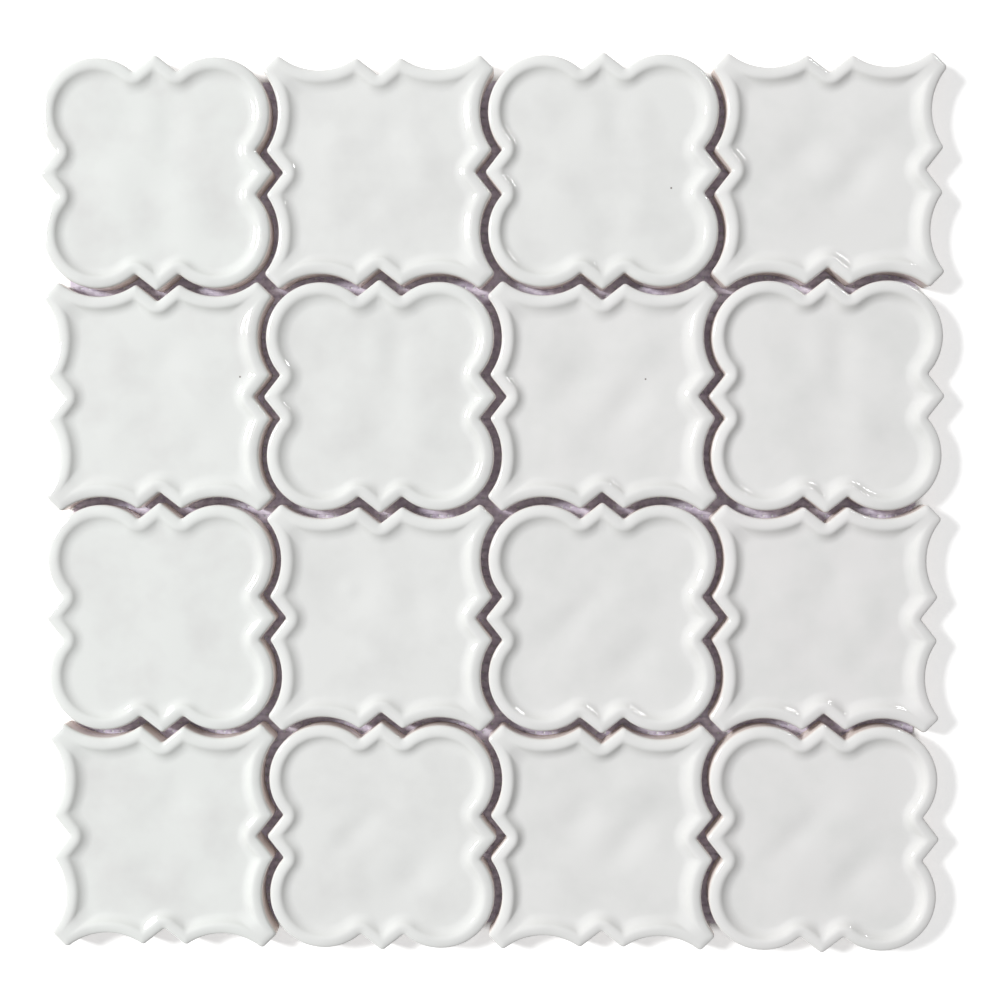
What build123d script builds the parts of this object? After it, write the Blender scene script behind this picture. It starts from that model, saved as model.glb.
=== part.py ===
"""Ceramic mosaic sheet, in millimetres, lying flat with +Z up.

Glazed tiles of two interlocking shapes take turns on a square grid, a barbed quatrefoil and a
notched square whose hollow sides follow the quatrefoil's lobes. Each tile is pressed and fired
in one piece, with a rounded rim standing round a shallow dish, and all of them lie face up on
one square of backing mesh that holds them at their joint until they are laid.
"""
import os
from math import radians, sin, sqrt, tan

from build123d import *

# Sheet grid, and the joint that is left open between neighbouring tiles
rows = 4
columns = 4
pitch = 75.0
joint = 2.6

# Quatrefoil tile, from its centre: the lobes on the diagonals and the barbs between them
lobe_centre = 19.9
lobe_radius = 18.6
barb_reach = 39.5
barb_half_angle = 52.0

# Notched tile, from its centre to the cut across each corner
corner_reach = 51.4

# Roundings of the outline in plan, on its points and in its notches
point_round = 1.4
notch_round = 0.9

# Section through a tile: the rim's outer edge, its width, and the dish that it stands round
tile_thickness = 8.0
edge_round = 1.2
rim_width = 3.3
dish_depth = 1.4
dish_slope = 45.0
dish_round = 2.0
dish_point_round = 2.6
dish_end_width = 4.6

# Backing mesh, reaching from the outer tiles' centres to just behind their notches
mesh_thickness = 0.5
mesh_reach = 32.0


def quatrefoil_plan(grow):
    """Sharp outline of the quatrefoil, every side moved outward by grow."""
    half_angle = radians(barb_half_angle)
    reach = barb_reach + grow / sin(half_angle)
    half_base = (reach - lobe_centre) * tan(half_angle)
    lobe = Pos(lobe_centre, lobe_centre) * Rot(0, 0, 225) * Circle(lobe_radius + grow)
    barb = Polygon((reach, 0), (lobe_centre, half_base), (lobe_centre, -half_base), align=None)
    plan = Rectangle(2 * lobe_centre, 2 * lobe_centre)
    for quarter in range(4):
        plan += Rot(0, 0, 90 * quarter) * (lobe + barb)
    return plan


def notched_plan(inset, reach):
    """Sharp outline of the notched tile: what the four neighbours and their joint leave of a diamond."""
    plan = Rot(0, 0, 45) * Rectangle(2 * reach, 2 * reach)
    neighbour = Pos(pitch, 0) * quatrefoil_plan(joint + inset)
    for quarter in range(4):
        plan -= Rot(0, 0, 90 * quarter) * neighbour
    return plan


def dish_end_reach():
    """Where the dish ends along a diagonal: inside the rim, and while it is dish_end_width wide."""
    inside_rim = corner_reach - rim_width
    side_radius = lobe_radius + joint + rim_width
    half_gap = (pitch - 2 * lobe_centre) / sqrt(2) - dish_end_width / 2
    if side_radius <= half_gap:
        return inside_rim
    return min(inside_rim, pitch / sqrt(2) - sqrt(side_radius**2 - half_gap**2))


def round_plan(plan, axis_round, side_round):
    """Round the corners on the X and Y axes by one radius and all the others by another."""
    corners = plan.vertices()
    on_axis = [v for v in corners if min(abs(v.X), abs(v.Y)) < 0.001]
    beside = [v.center() for v in corners if min(abs(v.X), abs(v.Y)) >= 0.001]
    plan = fillet(on_axis, axis_round)
    left = [v for v in plan.vertices() if any((v.center() - p).length < 0.001 for p in beside)]
    return fillet(left, side_round)


def pressed_tile(plan, dish_plan):
    """One tile with its back on the ground plane: rounded rim, sloping dish, flat unglazed back."""
    body = extrude(plan, tile_thickness)
    face = body.faces().sort_by(Axis.Z)[-1]
    body = fillet(face.edges(), edge_round)
    tile = body - extrude(Pos(0, 0, tile_thickness) * dish_plan, -dish_depth, taper=dish_slope)
    back, dish, rim = tile.faces().filter_by(Axis.Z).sort_by(Axis.Z)
    tile = fillet(dish.edges(), dish_round)
    rim = tile.faces().filter_by(Axis.Z).sort_by(Axis.Z)[-1]
    return fillet(rim.inner_wires()[0].edges(), dish_round)


# The two shapes, each pressed once and then repeated over the sheet
quatrefoil = pressed_tile(
    round_plan(quatrefoil_plan(0), point_round, notch_round),
    round_plan(quatrefoil_plan(-rim_width), dish_point_round, notch_round + rim_width),
)
notched = pressed_tile(
    round_plan(notched_plan(0, corner_reach), notch_round, point_round),
    round_plan(notched_plan(rim_width, dish_end_reach()), notch_round + rim_width, dish_point_round),
)

os.makedirs("parts", exist_ok=True)

# Backing mesh as one thin flat sheet, its underside on the floor
mesh_width = (columns - 1) * pitch + 2 * mesh_reach
mesh_height = (rows - 1) * pitch + 2 * mesh_reach
mesh = extrude(Rectangle(mesh_width, mesh_height), mesh_thickness)
export_step(mesh, "parts/backing_mesh.step")

# Tiles on the mesh, row 1 at the far side and column 1 at the left
for row in range(rows):
    for column in range(columns):
        x = (column - (columns - 1) / 2) * pitch
        y = ((rows - 1) / 2 - row) * pitch
        even = (row + column) % 2 == 0
        shape, name = (quatrefoil, "quatrefoil_tile") if even else (notched, "notched_tile")
        placed = Pos(x, y, mesh_thickness) * shape
        export_step(placed, f"parts/{name}_r{row + 1}c{column + 1}.step")
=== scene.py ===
import random
from math import atan2, cos, exp, pi, radians, sin, sqrt, tan

import bmesh
import bpy
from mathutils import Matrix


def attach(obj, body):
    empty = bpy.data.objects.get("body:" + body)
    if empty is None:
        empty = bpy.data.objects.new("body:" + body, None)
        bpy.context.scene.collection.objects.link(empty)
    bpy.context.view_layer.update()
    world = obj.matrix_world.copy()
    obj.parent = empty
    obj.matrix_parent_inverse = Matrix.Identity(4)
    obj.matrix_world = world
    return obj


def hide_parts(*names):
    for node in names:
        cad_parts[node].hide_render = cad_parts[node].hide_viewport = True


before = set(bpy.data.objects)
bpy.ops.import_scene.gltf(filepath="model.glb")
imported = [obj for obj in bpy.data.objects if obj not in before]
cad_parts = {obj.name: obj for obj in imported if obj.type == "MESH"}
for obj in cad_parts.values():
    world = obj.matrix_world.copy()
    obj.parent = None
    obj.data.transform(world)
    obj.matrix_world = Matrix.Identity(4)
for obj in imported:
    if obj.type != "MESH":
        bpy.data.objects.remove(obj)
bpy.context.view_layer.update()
bpy.ops.object.select_all(action="DESELECT")

# Glazed tiles in general
# Each tile is dust-pressed stoneware, dipped in white glaze and fired in one piece. A soft rolled
# rim stands round a shallow dish, and the lower sides and the flat back stay bare. Sizes are in
# millimetres, and heights are above the floor.
MM = 0.001
BACK = 0.5
TOP = 8.5
EDGE_ROUND = 1.1
EDGE_TURN = radians(18)
ROLL_ROUND = 6.6
CREST_ROUND = 2.9
SLOPE_RUN = 0.15
COVE_ROUND = 6.4
DISH_TURN = radians(32)
EDGE_STEPS, ROLL_STEPS, CREST_STEPS, COVE_STEPS = 5, 6, 7, 9
GLAZE_FOOT = 3.6
FOOT_DRAFT = 0.35
FOOT_CHAMFER = 0.3
WELD = 0.001
LEVEL_SLACK = 0.1
SMOOTH_ANGLE = radians(50)


def rim_section():
    """Insets and heights over the rim, from the side's top to the field: edge, roll, crest and cove."""
    crest = EDGE_ROUND * (1 - sin(EDGE_TURN)) + ROLL_ROUND * sin(EDGE_TURN)
    shoulder = TOP - ROLL_ROUND * (1 - cos(EDGE_TURN))
    slope = crest + CREST_ROUND * sin(DISH_TURN) + SLOPE_RUN
    slope_height = TOP - CREST_ROUND * (1 - cos(DISH_TURN)) - SLOPE_RUN * tan(DISH_TURN)
    section = []
    for step in range(EDGE_STEPS):
        turn = pi / 2 + (EDGE_TURN - pi / 2) * step / EDGE_STEPS
        section.append((EDGE_ROUND * (1 - sin(turn)),
                        shoulder - EDGE_ROUND * (cos(EDGE_TURN) - cos(turn))))
    for step in range(ROLL_STEPS):
        turn = EDGE_TURN * (1 - step / ROLL_STEPS)
        section.append((crest - ROLL_ROUND * sin(turn), TOP - ROLL_ROUND * (1 - cos(turn))))
    for step in range(CREST_STEPS + 1):
        turn = DISH_TURN * step / CREST_STEPS
        section.append((crest + CREST_ROUND * sin(turn), TOP - CREST_ROUND * (1 - cos(turn))))
    for step in range(COVE_STEPS + 1):
        turn = DISH_TURN * (1 - step / COVE_STEPS)
        section.append((slope + COVE_ROUND * (sin(DISH_TURN) - sin(turn)),
                        slope_height - COVE_ROUND * (cos(turn) - cos(DISH_TURN))))
    return section


RIM = rim_section()
CREST = next(inset for inset, height in RIM if height == TOP)
FIELD_EDGE, FIELD = RIM[-1]


def smooth(low, high, value):
    """0 below low, 1 above high and an even S between them."""
    t = min(max((value - low) / (high - low), 0.0), 1.0)
    return t * t * (3 - 2 * t)


def whole_outline(eighth):
    """Mirror and turn an eighth of an outline into the closed loop, anticlockwise."""
    quarter = eighth + [(y, x) for x, y in eighth[-2:0:-1]]
    loop = []
    for turn in range(4):
        c, s = (1, 0, -1, 0)[turn], (0, 1, 0, -1)[turn]
        loop += [(c * x - s * y, s * x + c * y) for x, y in quarter]
    return loop


def tile_rings(eighth):
    """Insets, heights and loops of a tile's rings, from its back, up the side and over the rim."""
    side = [(FOOT_DRAFT, BACK), (FOOT_DRAFT / 2, BACK + FOOT_CHAMFER), (0.0, GLAZE_FOOT),
            (0.0, (GLAZE_FOOT + RIM[0][1]) / 2)]
    return [(inset, height, whole_outline(eighth(inset))) for inset, height in side + RIM]


def select_open_edge(tile, height):
    """Select the tile's open edge at one height, and give its edit mesh."""
    bpy.ops.mesh.select_all(action="DESELECT")
    bm = bmesh.from_edit_mesh(tile.data)
    for edge in bm.edges:
        edge.select = edge.is_boundary and abs(edge.verts[0].co.z - height * MM) < LEVEL_SLACK * MM
    bm.select_flush_mode()
    return bm


def press_tile(name, rings):
    """Wrap a grid round into a tile's side and rim, weld it, and close the field and the back."""
    around, up = len(rings[0][2]), len(rings) - 1
    bpy.ops.mesh.primitive_grid_add(x_subdivisions=around, y_subdivisions=up, size=1)
    tile = bpy.context.object
    tile.name = tile.data.name = name
    places, held = [], []
    for inset, height, loop in rings:
        places += [(x * MM, y * MM, height * MM) for x, y in loop + loop[:1]]
        held += [1 - smooth(CREST, FIELD_EDGE, inset)] * (around + 1)
    tile.data.vertices.foreach_set("co", [c for place in places for c in place])
    hold = tile.data.attributes.new("rim_hold", "FLOAT", "POINT")
    hold.data.foreach_set("value", held)
    bpy.ops.object.mode_set(mode="EDIT")
    bpy.ops.mesh.select_all(action="SELECT")
    bpy.ops.mesh.remove_doubles(threshold=WELD * MM)
    bm = select_open_edge(tile, FIELD)
    corner = max((v for v in bm.verts if v.select), key=lambda v: v.co.x + v.co.y)
    bm.select_history.clear()
    bm.select_history.add(corner)
    bpy.ops.mesh.fill_grid(span=around // 4, use_interp_simple=True)
    select_open_edge(tile, BACK)
    bpy.ops.mesh.edge_face_add()
    bpy.ops.mesh.select_all(action="SELECT")
    bpy.ops.mesh.normals_make_consistent(inside=False)
    bpy.ops.object.mode_set(mode="OBJECT")
    bpy.ops.object.shade_smooth_by_angle(angle=SMOOTH_ANGLE)
    return tile


# Quatrefoil tiles
# Four round lobes with a pointed barb between each pair. The outline is drawn as an eighth, at any
# inset from the tile's edge, and the rim follows it in.
LOBE_CENTRE = 19.9
LOBE_RADIUS = 18.6
BARB_REACH = 39.5
BARB_TURN = radians(52)
FLANK_SLOPE = pi / 2 - BARB_TURN
NOTCH_ROUND = 0.9
POINT_ROUND = 1.4
# A point's rounding tightens as far in as the crest, and widens from there to the field
POINT_TIGHTER, POINT_WIDER = 0.55, 2.0
POINT_CREST, POINT_FIELD = 1.6, 6.3
TIP_STEPS, FLANK_STEPS, NOTCH_STEPS, LOBE_STEPS = 4, 6, 7, 17


def arc(centre, radius, start, end, steps):
    """Points along an arc, without its last one, which the next run begins with."""
    turn = (end - start) / steps
    return [(centre[0] + radius * cos(start + turn * i), centre[1] + radius * sin(start + turn * i))
            for i in range(steps)]


def run(start, end, steps):
    """Points along a straight run, without its last one."""
    return [(start[0] + (end[0] - start[0]) * i / steps, start[1] + (end[1] - start[1]) * i / steps)
            for i in range(steps)]


def barb_and_lobe(grow, corner_round):
    """Centre of the rounding between a barb's side and the lobe beside it, both moved out by grow."""
    normal = (sin(BARB_TURN), cos(BARB_TURN))
    along = (-cos(BARB_TURN), sin(BARB_TURN))
    offset = grow + corner_round
    start = (BARB_REACH + offset * normal[0] - LOBE_CENTRE, offset * normal[1] - LOBE_CENTRE)
    half = start[0] * along[0] + start[1] * along[1]
    gap = start[0] ** 2 + start[1] ** 2 - (LOBE_RADIUS + offset) ** 2
    slide = -half - sqrt(half * half - gap)
    return (BARB_REACH + offset * normal[0] + slide * along[0], offset * normal[1] + slide * along[1])


def point_radius(inset):
    """Radius of an outward point of the rim: tight on the crest and wider down in the dish."""
    return (POINT_ROUND - POINT_TIGHTER * smooth(0.0, POINT_CREST, inset)
            + POINT_WIDER * smooth(POINT_CREST, POINT_FIELD, inset))


def quatrefoil_eighth(inset):
    """Outline of the quatrefoil from a barb's tip to the middle of a lobe, moved in by inset."""
    tip_round = point_radius(inset)
    tip = (BARB_REACH - (inset + tip_round) / sin(BARB_TURN), 0.0)
    notch_round = NOTCH_ROUND + inset
    notch = barb_and_lobe(-inset, notch_round)
    barb_top = (tip[0] + tip_round * cos(FLANK_SLOPE), tip_round * sin(FLANK_SLOPE))
    barb_foot = (notch[0] - notch_round * cos(FLANK_SLOPE), notch[1] - notch_round * sin(FLANK_SLOPE))
    to_lobe = atan2(LOBE_CENTRE - notch[1], LOBE_CENTRE - notch[0])
    notch_end = to_lobe + 2 * pi if to_lobe < 0 else to_lobe
    points = arc(tip, tip_round, 0.0, FLANK_SLOPE, TIP_STEPS)
    points += run(barb_top, barb_foot, FLANK_STEPS)
    points += arc(notch, notch_round, FLANK_SLOPE + pi, notch_end, NOTCH_STEPS)
    points += arc((LOBE_CENTRE, LOBE_CENTRE), LOBE_RADIUS - inset, to_lobe - pi, pi / 4, LOBE_STEPS)
    diagonal = LOBE_CENTRE + (LOBE_RADIUS - inset) / sqrt(2)
    return points + [(diagonal, diagonal)]


quatrefoil = press_tile("quatrefoil_master", tile_rings(quatrefoil_eighth))


# Notched tiles
# A square whose sides are hollowed by the neighbours' lobes, with a V notch for each barb and
# a cut across each corner. Its outline is what the neighbours and their open joint leave of it.
PITCH = 75.0
JOINT = 2.6
CORNER_REACH = 51.4
LEAST_CUT = 0.2
TOOTH_STEPS, SIDE_STEPS, CORNER_STEPS, CUT_STEPS = 6, 15, 5, 2


def notched_eighth(inset):
    """Outline of the notched tile from a notch's bottom to the middle of a corner, moved in by inset."""
    grow = JOINT + inset
    notch_round = NOTCH_ROUND + inset
    notch = (PITCH - BARB_REACH - (grow - notch_round) / sin(BARB_TURN), 0.0)
    notch_end = (notch[0] - notch_round * cos(FLANK_SLOPE), notch_round * sin(FLANK_SLOPE))
    tooth_round = point_radius(inset)
    mate = barb_and_lobe(grow, tooth_round)
    tooth = (PITCH - mate[0], mate[1])
    tooth_start = (tooth[0] + tooth_round * cos(FLANK_SLOPE), tooth[1] - tooth_round * sin(FLANK_SLOPE))
    lobe = (PITCH - LOBE_CENTRE, LOBE_CENTRE)
    side = LOBE_RADIUS + grow
    to_lobe = atan2(lobe[1] - tooth[1], lobe[0] - tooth[0])
    # The corner's rounding, in distances along the diagonal and across it
    lobe_along, lobe_across = PITCH / sqrt(2), (PITCH - 2 * LOBE_CENTRE) / sqrt(2)
    corner_round = point_radius(inset)
    along = CORNER_REACH - inset - corner_round
    across = lobe_across - sqrt((side + corner_round) ** 2 - (lobe_along - along) ** 2)
    if across < LEAST_CUT:
        across = LEAST_CUT
        along = lobe_along - sqrt((side + corner_round) ** 2 - (lobe_across - across) ** 2)
    corner = ((along + across) / sqrt(2), (along - across) / sqrt(2))
    from_corner = atan2(lobe[1] - corner[1], lobe[0] - corner[0])
    cut = ((along + corner_round + across) / sqrt(2), (along + corner_round - across) / sqrt(2))
    middle = ((along + corner_round) / sqrt(2), (along + corner_round) / sqrt(2))
    points = arc(notch, notch_round, pi, pi - FLANK_SLOPE, TIP_STEPS)
    points += run(notch_end, tooth_start, FLANK_STEPS)
    points += arc(tooth, tooth_round, -FLANK_SLOPE, to_lobe, TOOTH_STEPS)
    points += arc(lobe, side, to_lobe + pi, from_corner + pi, SIDE_STEPS)
    points += arc(corner, corner_round, from_corner, pi / 4, CORNER_STEPS)
    points += run(cut, middle, CUT_STEPS)
    return points + [middle]


notched = press_tile("notched_master", tile_rings(notched_eighth))


# White glaze
# A tin-white glossy stoneware glaze, wet to the eye, with soft clouding, a shade that differs a
# little from one firing to the next, and a few dark pinholes. A painted shade makes it a little
# darker on the slopes, and over the outer edge the glaze lets the clay's colour through.
def linear(hex_colour):
    """An sRGB hex value as linear red, green, blue and alpha."""
    parts = [int(hex_colour[i:i + 2], 16) / 255 for i in (1, 3, 5)]
    return [c / 12.92 if c <= 0.04045 else ((c + 0.055) / 1.055) ** 2.4 for c in parts] + [1.0]


def add_node(owner, kind, inputs=None, **settings):
    """Add one node to a material or the world, with its settings, its values and its links."""
    made = owner.node_tree.nodes.new(kind)
    for name, value in settings.items():
        setattr(made, name, value)
    for socket, value in (inputs or {}).items():
        if isinstance(value, bpy.types.NodeSocket):
            owner.node_tree.links.new(value, made.inputs[socket])
        else:
            made.inputs[socket].default_value = value
    return made


def new_material(name):
    """An empty node material with its shader and its object coordinates."""
    material = bpy.data.materials.new(name)
    material.use_nodes = True
    shader = material.node_tree.nodes["Principled BSDF"]
    place = add_node(material, "ShaderNodeTexCoord").outputs["Object"]
    return material, shader, place


GLAZE_COOL = linear("#EFF1EF")
GLAZE_WARM = linear("#EEECEC")
GLAZE_CLOUD = linear("#E6E6E5")
# Painted shade, multiplied into the glaze colour on the slopes
GLAZE_SLOPE_SHADE = linear("#F8F8F7")
GLAZE_THIN = linear("#E9DED8")
PINHOLE_BROWN = linear("#5E5048")
PINHOLES = ((60.2, 106.9), (-84.9, 44.3), (51.9, 43.3))
PINHOLE_INSIDE, PINHOLE_OUTSIDE = 0.18, 0.432
CLOUD_SIZE = 16.0
CLOUD_CLEAR, CLOUD_DENSE = 0.42, 0.78
RIPPLE_SIZE = 5.0
RIPPLE_DEPTH = 0.015
# How far up the surface faces, from 0 on a side to 1 on the level: where a painted shade darkens the
# glaze on the slopes, and where the glaze parts at the outer edge, along a ragged line
LEVEL_UP, SLOPE_UP = 0.985, 0.86
BARE_UP, COATED_UP = 0.1, 0.95
RAGGED = 0.3
glaze, shader, place = new_material("white_stoneware_glaze")
# Each tile's firing shade, with a painted light tint growing warmer towards the right
firing_and_light_tint = add_node(glaze, "ShaderNodeAttribute", attribute_name="firing").outputs["Fac"]
shade = add_node(glaze, "ShaderNodeMix", {"Factor": firing_and_light_tint, "A": GLAZE_COOL, "B": GLAZE_WARM},
                 data_type="RGBA")
cloud = add_node(glaze, "ShaderNodeTexNoise", {"Vector": place, "Scale": 1 / (CLOUD_SIZE * MM),
                                               "Detail": 3.0})
drift = add_node(glaze, "ShaderNodeMapRange", {"Value": cloud.outputs["Fac"], "From Min": CLOUD_CLEAR,
                                               "From Max": CLOUD_DENSE})
pool = add_node(glaze, "ShaderNodeMix", {"Factor": drift.outputs["Result"], "A": shade.outputs["Result"],
                                         "B": GLAZE_CLOUD}, data_type="RGBA")
facing = add_node(glaze, "ShaderNodeNewGeometry").outputs["Normal"]
upward = add_node(glaze, "ShaderNodeSeparateXYZ", {"Vector": facing}).outputs["Z"]
# Painted shade: the glaze colour is made a little darker wherever the surface slopes
steep = add_node(glaze, "ShaderNodeMapRange", {"Value": upward, "From Min": LEVEL_UP, "From Max": SLOPE_UP})
painted_slope_shade = add_node(glaze, "ShaderNodeMix", {"Factor": steep.outputs["Result"], "A": pool.outputs["Result"],
                                         "B": GLAZE_SLOPE_SHADE}, data_type="RGBA", blend_type="MULTIPLY")
ripple = add_node(glaze, "ShaderNodeTexNoise", {"Vector": place, "Scale": 1 / (RIPPLE_SIZE * MM),
                                                "Detail": 2.0})
edge = add_node(glaze, "ShaderNodeMath", {0: ripple.outputs["Fac"], 1: RAGGED, 2: upward},
                operation="MULTIPLY_ADD")
cover = add_node(glaze, "ShaderNodeMapRange", {"Value": edge.outputs[0], "From Min": BARE_UP,
                                               "From Max": COATED_UP}, interpolation_type="SMOOTHSTEP")
coat = add_node(glaze, "ShaderNodeMix", {"Factor": cover.outputs["Result"], "A": GLAZE_THIN,
                                         "B": painted_slope_shade.outputs["Result"]}, data_type="RGBA")
nearest = None
for x, y in PINHOLES:
    away = add_node(glaze, "ShaderNodeVectorMath", {0: place, 1: (x * MM, y * MM, FIELD * MM)},
                    operation="DISTANCE").outputs["Value"]
    nearest = away if nearest is None else add_node(glaze, "ShaderNodeMath", {0: nearest, 1: away},
                                                    operation="MINIMUM").outputs[0]
whole = add_node(glaze, "ShaderNodeMapRange", {"Value": nearest, "From Min": PINHOLE_INSIDE * MM,
                                               "From Max": PINHOLE_OUTSIDE * MM})
speckled = add_node(glaze, "ShaderNodeMix", {"Factor": whole.outputs["Result"], "A": PINHOLE_BROWN,
                                             "B": coat.outputs["Result"]}, data_type="RGBA")
swim = add_node(glaze, "ShaderNodeBump", {"Height": ripple.outputs["Fac"], "Strength": 1.0,
                                          "Distance": RIPPLE_DEPTH * MM})
glaze.node_tree.links.new(speckled.outputs["Result"], shader.inputs["Base Color"])
glaze.node_tree.links.new(swim.outputs["Normal"], shader.inputs["Normal"])
shader.inputs["Roughness"].default_value = 0.055
shader.inputs["IOR"].default_value = 1.5

# Bare clay
# Pale buff stoneware body, fired but not glazed: dry, matt and grainy, with a darker speck here
# and there. The grain is drawn a few times as coarse as the real one, so that it shows.
CLAY_LIGHT = linear("#EADFD8")
CLAY_DARK = linear("#D6CAC2")
GRAIN_SIZE = 1.2
GRAIN_DEPTH = 0.2
clay, shader, place = new_material("bare_buff_stoneware")
grain = add_node(clay, "ShaderNodeTexNoise", {"Vector": place, "Scale": 1 / (GRAIN_SIZE * MM), "Detail": 4.0})
body = add_node(clay, "ShaderNodeMix", {"Factor": grain.outputs["Fac"], "A": CLAY_LIGHT, "B": CLAY_DARK},
                data_type="RGBA")
tooth = add_node(clay, "ShaderNodeBump", {"Height": grain.outputs["Fac"], "Strength": 0.4,
                                          "Distance": GRAIN_DEPTH * MM})
clay.node_tree.links.new(body.outputs["Result"], shader.inputs["Base Color"])
clay.node_tree.links.new(tooth.outputs["Normal"], shader.inputs["Normal"])
shader.inputs["Roughness"].default_value = 0.85

# Tiles laid out on the sheet
# Each tile comes from one of a few hand-cut moulds whose fields swell and sink by up to about 0.7 mm,
# and no dish lies quite in the middle of its rim. Tiles from different firings differ a little in
# shade at random, and the dishes on the right are a little deeper. On top of that, a painted light
# tint makes the tiles warmer towards the right, where the window's light falls off.
SWELLS = {
    # across and up from the tile's middle, half width, half length, turn in degrees, height
    "ribbed": ((5, 15, 5.5, 11, 0, -0.532), (12, -11, 8, 9, 20, 0.57), (-13, -4, 8, 10, 0, 0.38),
               (-10, 17, 7, 7, 0, -0.285), (2, -20, 7, 6, 0, -0.285)),
    "dimpled": ((-8, 2, 4.5, 12, -45, -0.475), (11, -13, 6, 9, -45, -0.665), (10, 11, 9, 9, 0, 0.38),
                (-12, -16, 8, 8, 0, 0.285)),
    "hollowed": ((-8, 6, 7, 8, -30, -0.627), (9, -2, 5.5, 10, -40, -0.627), (12, 16, 8, 8, 0, 0.38),
                 (-14, -14, 8, 8, 0, 0.38)),
    "ringed": ((-11, 10, 9, 9, 0, -0.722), (-11, 10, 3.5, 3.5, 0, 0.285), (11, 6, 6, 10, 10, -0.418),
               (0, -13, 9, 7, 0, 0.38)),
    "mottled": ((-14, 8, 6, 8, 15, 0.266), (2, 12, 5, 7, -30, -0.285), (14, 2, 6, 9, 0, 0.285),
                (-4, -10, 7, 5, 0, -0.266), (12, -16, 6, 6, 0, -0.228), (-16, -14, 6, 6, 0, 0.19)),
    "plain": ((6, 4, 11, 14, 20, 0.228), (-10, -8, 9, 9, 0, -0.152)),
}
MOULDS = (("ribbed", "mottled", "ribbed", "hollowed"),
          ("mottled", "ribbed", "hollowed", "ribbed"),
          ("plain", "ringed", "dimpled", "mottled"),
          ("mottled", "dimpled", "hollowed", "dimpled"))
MIDDLE = (len(MOULDS) - 1) / 2
DISH_DRIFT = 0.5
SINK_PER_COLUMN, SINK_SPREAD = 0.1, 0.12
# Per column, a painted light tint for the window's light falling off; the spread is each firing's own shade
LIGHT_TINT_PER_COLUMN, WARMTH_SPREAD = 0.2, 0.4
firing = random.Random(7)


def swell_height(swells, x, y):
    """Height of a mould's swells and hollows at a place on the tile."""
    height = 0.0
    for middle_x, middle_y, width, length, turn, rise in swells:
        c, s = cos(radians(turn)), sin(radians(turn))
        across = ((x - middle_x) * c + (y - middle_y) * s) / width
        along = ((y - middle_y) * c - (x - middle_x) * s) / length
        height += rise * exp(-across * across - along * along)
    return height


for row, moulds in enumerate(MOULDS):
    for column, mould in enumerate(moulds):
        even = (row + column) % 2 == 0
        master, kind = (quatrefoil, "quatrefoil_tile") if even else (notched, "notched_tile")
        bpy.ops.object.select_all(action="DESELECT")
        master.select_set(True)
        bpy.context.view_layer.objects.active = master
        bpy.ops.object.duplicate()
        tile = bpy.context.object
        tile.name = tile.data.name = f"glazed_{kind}_{row + 1}_{column + 1}"
        drift_x = firing.uniform(-DISH_DRIFT, DISH_DRIFT)
        drift_y = firing.uniform(-DISH_DRIFT, DISH_DRIFT)
        sink = SINK_PER_COLUMN * (column - MIDDLE) + firing.uniform(-SINK_SPREAD, SINK_SPREAD)
        hold = tile.data.attributes["rim_hold"].data
        for vertex, held in zip(tile.data.vertices, hold):
            x, y, z = vertex.co
            free = 1 - held.value
            rise = swell_height(SWELLS[mould], x / MM, y / MM) - sink
            vertex.co = (x + free * drift_x * MM, y + free * drift_y * MM, z + free * rise * MM)
        tile.data.attributes.remove(tile.data.attributes["rim_hold"])
        tint = tile.data.attributes.new("firing", "FLOAT", "POINT")
        # Painted light tint by column, warmer to the right, on top of each firing's own shade at random
        firing_and_light_warmth = LIGHT_TINT_PER_COLUMN * column + WARMTH_SPREAD * firing.random()
        tint.data.foreach_set("value", [firing_and_light_warmth] * len(tile.data.vertices))
        bpy.ops.transform.translate(value=((column - MIDDLE) * PITCH * MM, (MIDDLE - row) * PITCH * MM, 0))
        bpy.ops.object.transform_apply(location=True, rotation=False, scale=False)
        tile.data.materials.append(glaze)
        tile.data.materials.append(clay)
        for face in tile.data.polygons:
            face.material_index = int(face.center.z < GLAZE_FOOT * MM)
        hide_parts(f"{kind}_r{row + 1}c{column + 1}")
        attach(tile, "root")
for master in (quatrefoil, notched):
    bpy.data.objects.remove(master, do_unlink=True)

# Backing mesh
# A laid scrim of white coated glass fibre: flat threads one way, the same across them, bonded
# where they cross and glued to the backs of the tiles. Darker mottled patches on it are painted
# shade, standing in for the shaded gaps between the threads, drawn coarse enough to show in the joints.
MESH_REACH = 144.5
MESH_SPACING = 3.0
THREAD_WIDTH = 2.3
THREAD_THICK = 0.25
FIBRE_LIGHT = linear("#F0E9F7")
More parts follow.
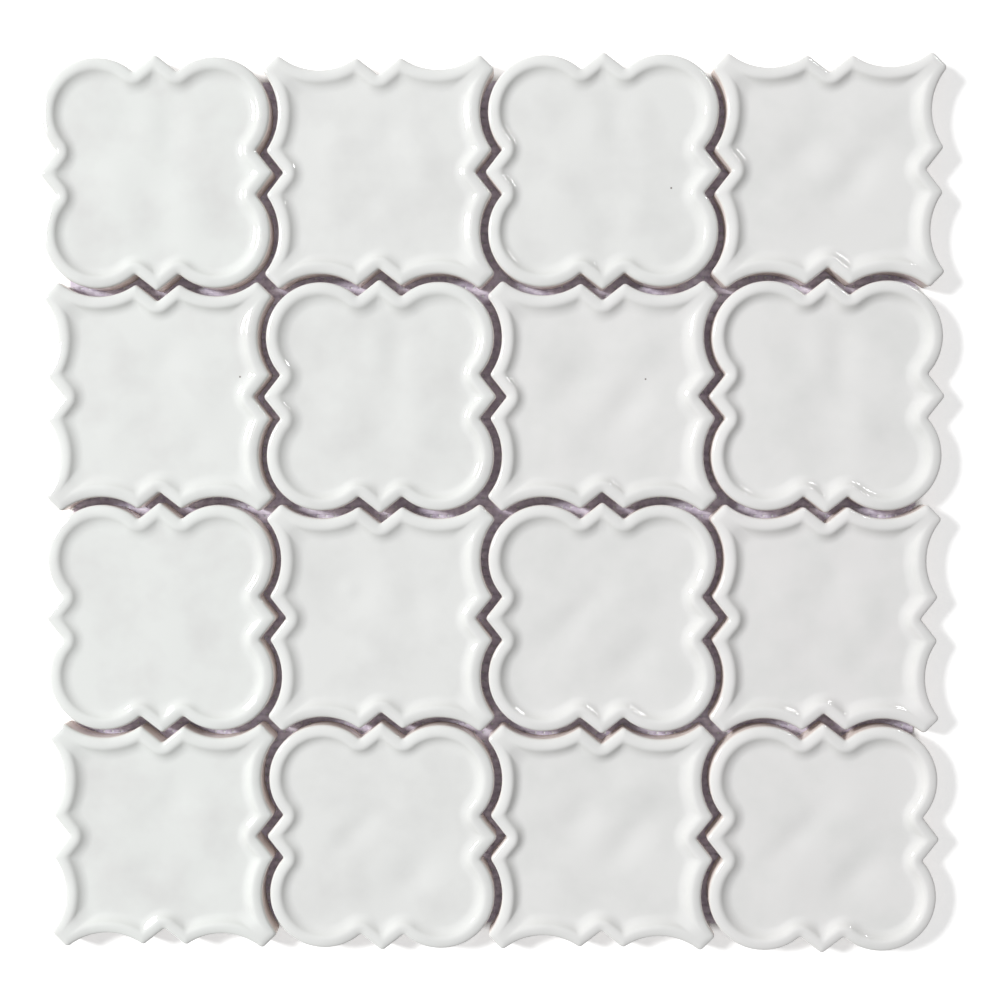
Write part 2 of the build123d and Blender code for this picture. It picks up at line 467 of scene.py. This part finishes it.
# Painted shade for the gaps between the threads
FIBRE_GAP_SHADE = linear("#C2B6CC")
GAP_SHADE_SIZE = 2.2
GAP_SHADE_CLEAR, GAP_SHADE_DENSE = 0.3, 0.75
thread_count = int(2 * (MESH_REACH - THREAD_WIDTH / 2) / MESH_SPACING) + 1
threads = []
for across, level in ((False, THREAD_THICK / 2), (True, THREAD_THICK * 1.5)):
    bpy.ops.object.select_all(action="DESELECT")
    bpy.ops.mesh.primitive_cylinder_add(vertices=8, radius=THREAD_WIDTH / 2 * MM, depth=2 * MESH_REACH * MM,
                                        rotation=(pi / 2, 0, 0))
    thread = bpy.context.object
    bpy.ops.object.transform_apply(location=True, rotation=True, scale=True)
    thread.scale = (1, 1, THREAD_THICK / THREAD_WIDTH)
    thread.location = (-(thread_count - 1) / 2 * MESH_SPACING * MM, 0, level * MM)
    bpy.ops.object.transform_apply(location=True, rotation=True, scale=True)
    repeat = thread.modifiers.new("threads", "ARRAY")
    repeat.count = thread_count
    repeat.use_relative_offset = False
    repeat.use_constant_offset = True
    repeat.constant_offset_displace = (MESH_SPACING * MM, 0, 0)
    bpy.ops.object.modifier_apply(modifier=repeat.name)
    if across:
        thread.rotation_euler = (0, 0, pi / 2)
        bpy.ops.object.transform_apply(location=True, rotation=True, scale=True)
    threads.append(thread)
bpy.ops.object.select_all(action="DESELECT")
for thread in threads:
    thread.select_set(True)
bpy.context.view_layer.objects.active = threads[0]
bpy.ops.object.join()
mesh = bpy.context.object
mesh.name = mesh.data.name = "glass_fibre_mesh"
bpy.ops.object.shade_smooth_by_angle(angle=SMOOTH_ANGLE)

scrim, shader, place = new_material("coated_glass_fibre")
fibre = add_node(scrim, "ShaderNodeTexNoise", {"Vector": place, "Scale": 1 / (GAP_SHADE_SIZE * MM),
                                               "Detail": 3.0})
# Painted shade: mottled darker patches standing in for the shaded gaps between threads
painted_gap_shade = add_node(scrim, "ShaderNodeMapRange", {"Value": fibre.outputs["Fac"], "From Min": GAP_SHADE_CLEAR,
                                                "From Max": GAP_SHADE_DENSE})
strand = add_node(scrim, "ShaderNodeMix", {"Factor": painted_gap_shade.outputs["Result"], "A": FIBRE_LIGHT,
                                           "B": FIBRE_GAP_SHADE}, data_type="RGBA")
scrim.node_tree.links.new(strand.outputs["Result"], shader.inputs["Base Color"])
shader.inputs["Roughness"].default_value = 0.6
mesh.data.materials.append(scrim)
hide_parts("backing_mesh")
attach(mesh, "root")

# Floor, lights and camera
# A white table, a window-like softbox from the left, a small tube lamp from the upper right and a
# weak room light. The table and the room show white, but the table doesn't glow under the sheet.
# The camera looks down from above, as in the photograph.
FLOOR_WIDTH = 3.2
FLOOR_GLOW = 0.45
GLOW_FADE = 3.0
ROOM_LIGHT = 0.25
CAMERA_PLACE = (0.0109, 0.0193, 0.4369)
CAMERA_TURN = (radians(-2.22), radians(1.06), 0)
FOCAL_PIXELS, PHOTO_PIXELS = 1273, 1000


def backdrop_rays(owner):
    """1 for the rays that show the backdrop itself: from the camera, by reflection or through glass."""
    ray = add_node(owner, "ShaderNodeLightPath").outputs
    seen = add_node(owner, "ShaderNodeMath", {0: ray["Is Camera Ray"], 1: ray["Is Glossy Ray"]},
                    operation="MAXIMUM")
    seen = add_node(owner, "ShaderNodeMath", {0: seen.outputs[0], 1: ray["Is Transmission Ray"]},
                    operation="MAXIMUM")
    return seen.outputs[0]


bpy.ops.mesh.primitive_plane_add(size=FLOOR_WIDTH, location=(0, 0, 0))
floor = bpy.context.object
floor.name = "white_floor"
paper, shader, place = new_material("white_table")
shader.inputs["Base Color"].default_value = linear("#FAFAFA")
shader.inputs["Roughness"].default_value = 0.9
apart = add_node(paper, "ShaderNodeVectorMath", {0: place}, operation="ABSOLUTE")
apart = add_node(paper, "ShaderNodeSeparateXYZ", {"Vector": apart.outputs[0]})
apart = add_node(paper, "ShaderNodeMath", {0: apart.outputs["X"], 1: apart.outputs["Y"]}, operation="MAXIMUM")
clear = add_node(paper, "ShaderNodeMapRange", {"Value": apart.outputs[0], "From Min": MESH_REACH * MM,
                                               "From Max": (MESH_REACH + GLOW_FADE) * MM,
                                               "To Max": FLOOR_GLOW})
glow = add_node(paper, "ShaderNodeMath", {0: backdrop_rays(paper), 1: clear.outputs["Result"]},
                operation="MULTIPLY")
shader.inputs["Emission Color"].default_value = linear("#FFFFFF")
paper.node_tree.links.new(glow.outputs[0], shader.inputs["Emission Strength"])
floor.data.materials.append(paper)

world = bpy.context.scene.world or bpy.data.worlds.new("room")
bpy.context.scene.world = world
world.use_nodes = True
room = world.node_tree.nodes["Background"]
room.inputs["Color"].default_value = linear("#FFFFFF")
bright = add_node(world, "ShaderNodeMapRange", {"Value": backdrop_rays(world), "To Min": ROOM_LIGHT})
world.node_tree.links.new(bright.outputs["Result"], room.inputs["Strength"])


def softbox(name, bearing, elevation, distance, width, height, power, colour):
    """A flat lamp facing the origin, from a bearing and an elevation in degrees."""
    flat = distance * cos(radians(elevation))
    place = (flat * cos(radians(bearing)), flat * sin(radians(bearing)), distance * sin(radians(elevation)))
    turn = (0, radians(90 - elevation), radians(bearing))
    bpy.ops.object.light_add(type="AREA", location=place, rotation=turn)
    lamp = bpy.context.object
    lamp.name = name
    lamp.data.shape = "RECTANGLE"
    lamp.data.size = height
    lamp.data.size_y = width
    lamp.data.energy = power
    lamp.data.color = linear(colour)[:3]


softbox("window", bearing=162, elevation=37, distance=4.2, width=0.95, height=0.85, power=172.0,
        colour="#FEFFFE")
softbox("tube_lamp", bearing=47, elevation=34.5, distance=4.0, width=0.95, height=0.15, power=19.0,
        colour="#FFFFFF")

bpy.ops.object.camera_add(location=CAMERA_PLACE)
camera = bpy.context.object
camera.rotation_mode = "ZYX"
camera.rotation_euler = CAMERA_TURN
camera.data.sensor_fit = "HORIZONTAL"
camera.data.sensor_width = 36.0
camera.data.lens = 36.0 * FOCAL_PIXELS / PHOTO_PIXELS
camera.data.clip_start = 0.01
bpy.context.scene.camera = camera
bpy.context.scene.view_settings.view_transform = "Standard"
